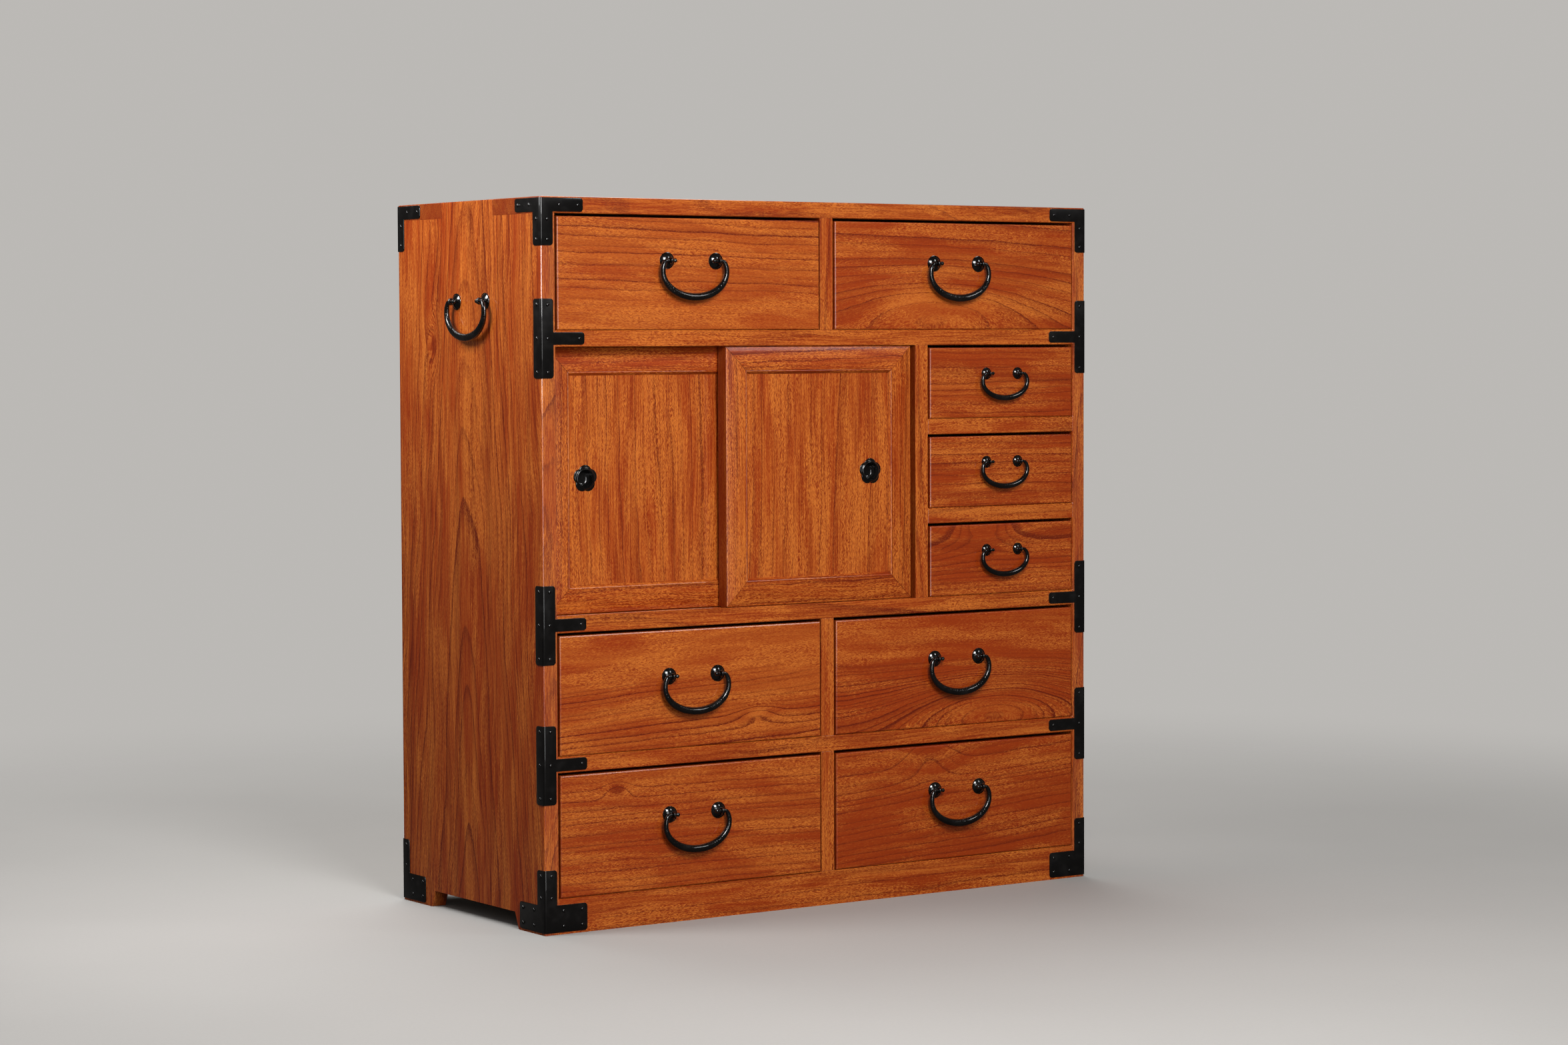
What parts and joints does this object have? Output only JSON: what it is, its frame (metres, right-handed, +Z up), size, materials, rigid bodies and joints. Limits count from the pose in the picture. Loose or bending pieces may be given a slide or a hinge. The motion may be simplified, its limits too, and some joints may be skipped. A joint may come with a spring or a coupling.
{
  "type": "small tansu chest",
  "caption": "Small tansu chest: joined wood case with bail-handled drawers, a cabinet with two sliding doors, folded iron corner brackets and side carrying handles.",
  "frame": {"origin": "on the floor under the middle of the whole chest, handles and brackets included", "axes": "+X to the right as seen from the front, +Y from the front to the back, +Z up"},
  "size_m": [0.774, 0.3352, 0.8],
  "materials": {
    "lacquered_wood": "satin red-orange lacquer over open straight grain",
    "plain_wood": "plain planed light wood",
    "black_iron": "black baked lacquer on forged and folded iron, satin to glossy"
  },
  "bodies": {
    "case": {"side_left": "lacquered_wood", "side_right": "lacquered_wood", "top_board": "lacquered_wood", "bottom_board": "plain_wood", "base_rail": "lacquered_wood", "shelf_upper": "lacquered_wood", "shelf_middle": "lacquered_wood", "shelf_lower": "lacquered_wood", "centre_dividers": "lacquered_wood", "cabinet_divider": "lacquered_wood", "small_shelves": "lacquered_wood", "back_boards": "plain_wood", "corner_brackets": "black_iron", "tee_brackets": "black_iron", "bracket_nails": "black_iron", "side_posts": "black_iron"},
    "drawer_top_left": {"drawer_top_left_front": "lacquered_wood", "drawer_top_left_box": "plain_wood", "drawer_top_left_posts": "black_iron"},
    "drawer_top_left_handle": {"drawer_top_left_bail": "black_iron"},
    "drawer_top_right": {"drawer_top_right_front": "lacquered_wood", "drawer_top_right_box": "plain_wood", "drawer_top_right_posts": "black_iron"},
    "drawer_top_right_handle": {"drawer_top_right_bail": "black_iron"},
    "drawer_lower_left": {"drawer_lower_left_front": "lacquered_wood", "drawer_lower_left_box": "plain_wood", "drawer_lower_left_posts": "black_iron"},
    "drawer_lower_left_handle": {"drawer_lower_left_bail": "black_iron"},
    "drawer_lower_right": {"drawer_lower_right_front": "lacquered_wood", "drawer_lower_right_box": "plain_wood", "drawer_lower_right_posts": "black_iron"},
    "drawer_lower_right_handle": {"drawer_lower_right_bail": "black_iron"},
    "drawer_bottom_left": {"drawer_bottom_left_front": "lacquered_wood", "drawer_bottom_left_box": "plain_wood", "drawer_bottom_left_posts": "black_iron"},
    "drawer_bottom_left_handle": {"drawer_bottom_left_bail": "black_iron"},
    "drawer_bottom_right": {"drawer_bottom_right_front": "lacquered_wood", "drawer_bottom_right_box": "plain_wood", "drawer_bottom_right_posts": "black_iron"},
    "drawer_bottom_right_handle": {"drawer_bottom_right_bail": "black_iron"},
    "drawer_small_1": {"drawer_small_1_front": "lacquered_wood", "drawer_small_1_box": "plain_wood", "drawer_small_1_posts": "black_iron"},
    "drawer_small_1_handle": {"drawer_small_1_bail": "black_iron"},
    "drawer_small_2": {"drawer_small_2_front": "lacquered_wood", "drawer_small_2_box": "plain_wood", "drawer_small_2_posts": "black_iron"},
    "drawer_small_2_handle": {"drawer_small_2_bail": "black_iron"},
    "drawer_small_3": {"drawer_small_3_front": "lacquered_wood", "drawer_small_3_box": "plain_wood", "drawer_small_3_posts": "black_iron"},
    "drawer_small_3_handle": {"drawer_small_3_bail": "black_iron"},
    "side_handle_left": {"side_bail_left": "black_iron"},
    "side_handle_right": {"side_bail_right": "black_iron"},
    "door_left": {"door_left_frame": "lacquered_wood", "door_left_panel": "lacquered_wood", "door_left_pull": "black_iron"},
    "door_right": {"door_right_frame": "lacquered_wood", "door_right_panel": "lacquered_wood", "door_right_pull": "black_iron"}
  },
  "joints": [
    {"name": "drawer_top_left_slide", "type": "slide", "parent": "case", "child": "drawer_top_left", "axis": [0, -1, 0], "range_m": [0, 0.22]},
    {"name": "drawer_top_left_bail_hinge", "type": "hinge", "parent": "drawer_top_left", "child": "drawer_top_left_handle", "pos_m": [-0.183, -0.16318, 0.73215], "axis": [-1, 0, 0], "range_deg": [0, 90]},
    {"name": "drawer_top_right_slide", "type": "slide", "parent": "case", "child": "drawer_top_right", "axis": [0, -1, 0], "range_m": [0, 0.22]},
    {"name": "drawer_top_right_bail_hinge", "type": "hinge", "parent": "drawer_top_right", "child": "drawer_top_right_handle", "pos_m": [0.183, -0.16318, 0.73215], "axis": [-1, 0, 0], "range_deg": [0, 90]},
    {"name": "drawer_lower_left_slide", "type": "slide", "parent": "case", "child": "drawer_lower_left", "axis": [0, -1, 0], "range_m": [0, 0.22]},
    {"name": "drawer_lower_left_bail_hinge", "type": "hinge", "parent": "drawer_lower_left", "child": "drawer_lower_left_handle", "pos_m": [-0.183, -0.16318, 0.27415], "axis": [-1, 0, 0], "range_deg": [0, 90]},
    {"name": "drawer_lower_right_slide", "type": "slide", "parent": "case", "child": "drawer_lower_right", "axis": [0, -1, 0], "range_m": [0, 0.22]},
    {"name": "drawer_lower_right_bail_hinge", "type": "hinge", "parent": "drawer_lower_right", "child": "drawer_lower_right_handle", "pos_m": [0.183, -0.16318, 0.27415], "axis": [-1, 0, 0], "range_deg": [0, 90]},
    {"name": "drawer_bottom_left_slide", "type": "slide", "parent": "case", "child": "drawer_bottom_left", "axis": [0, -1, 0], "range_m": [0, 0.22]},
    {"name": "drawer_bottom_left_bail_hinge", "type": "hinge", "parent": "drawer_bottom_left", "child": "drawer_bottom_left_handle", "pos_m": [-0.183, -0.16318, 0.12065], "axis": [-1, 0, 0], "range_deg": [0, 90]},
    {"name": "drawer_bottom_right_slide", "type": "slide", "parent": "case", "child": "drawer_bottom_right", "axis": [0, -1, 0], "range_m": [0, 0.22]},
    {"name": "drawer_bottom_right_bail_hinge", "type": "hinge", "parent": "drawer_bottom_right", "child": "drawer_bottom_right_handle", "pos_m": [0.183, -0.16318, 0.12065], "axis": [-1, 0, 0], "range_deg": [0, 90]},
    {"name": "drawer_small_1_slide", "type": "slide", "parent": "case", "child": "drawer_small_1", "axis": [0, -1, 0], "range_m": [0, 0.22]},
    {"name": "drawer_small_1_bail_hinge", "type": "hinge", "parent": "drawer_small_1", "child": "drawer_small_1_handle", "pos_m": [0.25, -0.16198, 0.39802], "axis": [-1, 0, 0], "range_deg": [0, 90]},
    {"name": "drawer_small_2_slide", "type": "slide", "parent": "case", "child": "drawer_small_2", "axis": [0, -1, 0], "range_m": [0, 0.22]},
    {"name": "drawer_small_2_bail_hinge", "type": "hinge", "parent": "drawer_small_2", "child": "drawer_small_2_handle", "pos_m": [0.25, -0.16198, 0.50135], "axis": [-1, 0, 0], "range_deg": [0, 90]},
    {"name": "drawer_small_3_slide", "type": "slide", "parent": "case", "child": "drawer_small_3", "axis": [0, -1, 0], "range_m": [0, 0.22]},
    {"name": "drawer_small_3_bail_hinge", "type": "hinge", "parent": "drawer_small_3", "child": "drawer_small_3_handle", "pos_m": [0.25, -0.16198, 0.60468], "axis": [-1, 0, 0], "range_deg": [0, 90]},
    {"name": "side_bail_left_hinge", "type": "hinge", "parent": "case", "child": "side_handle_left", "pos_m": [-0.3826, -0.00258, 0.6885], "axis": [0, 1, 0], "range_deg": [0, 90]},
    {"name": "side_bail_right_hinge", "type": "hinge", "parent": "case", "child": "side_handle_right", "pos_m": [0.3826, -0.00258, 0.6885], "axis": [0, -1, 0], "range_deg": [0, 90]},
    {"name": "door_left_slide", "type": "slide", "parent": "case", "child": "door_left", "axis": [1, 0, 0], "range_m": [0, 0.2255]},
    {"name": "door_right_slide", "type": "slide", "parent": "case", "child": "door_right", "axis": [1, 0, 0], "range_m": [-0.2205, 0.005]}
  ]
}
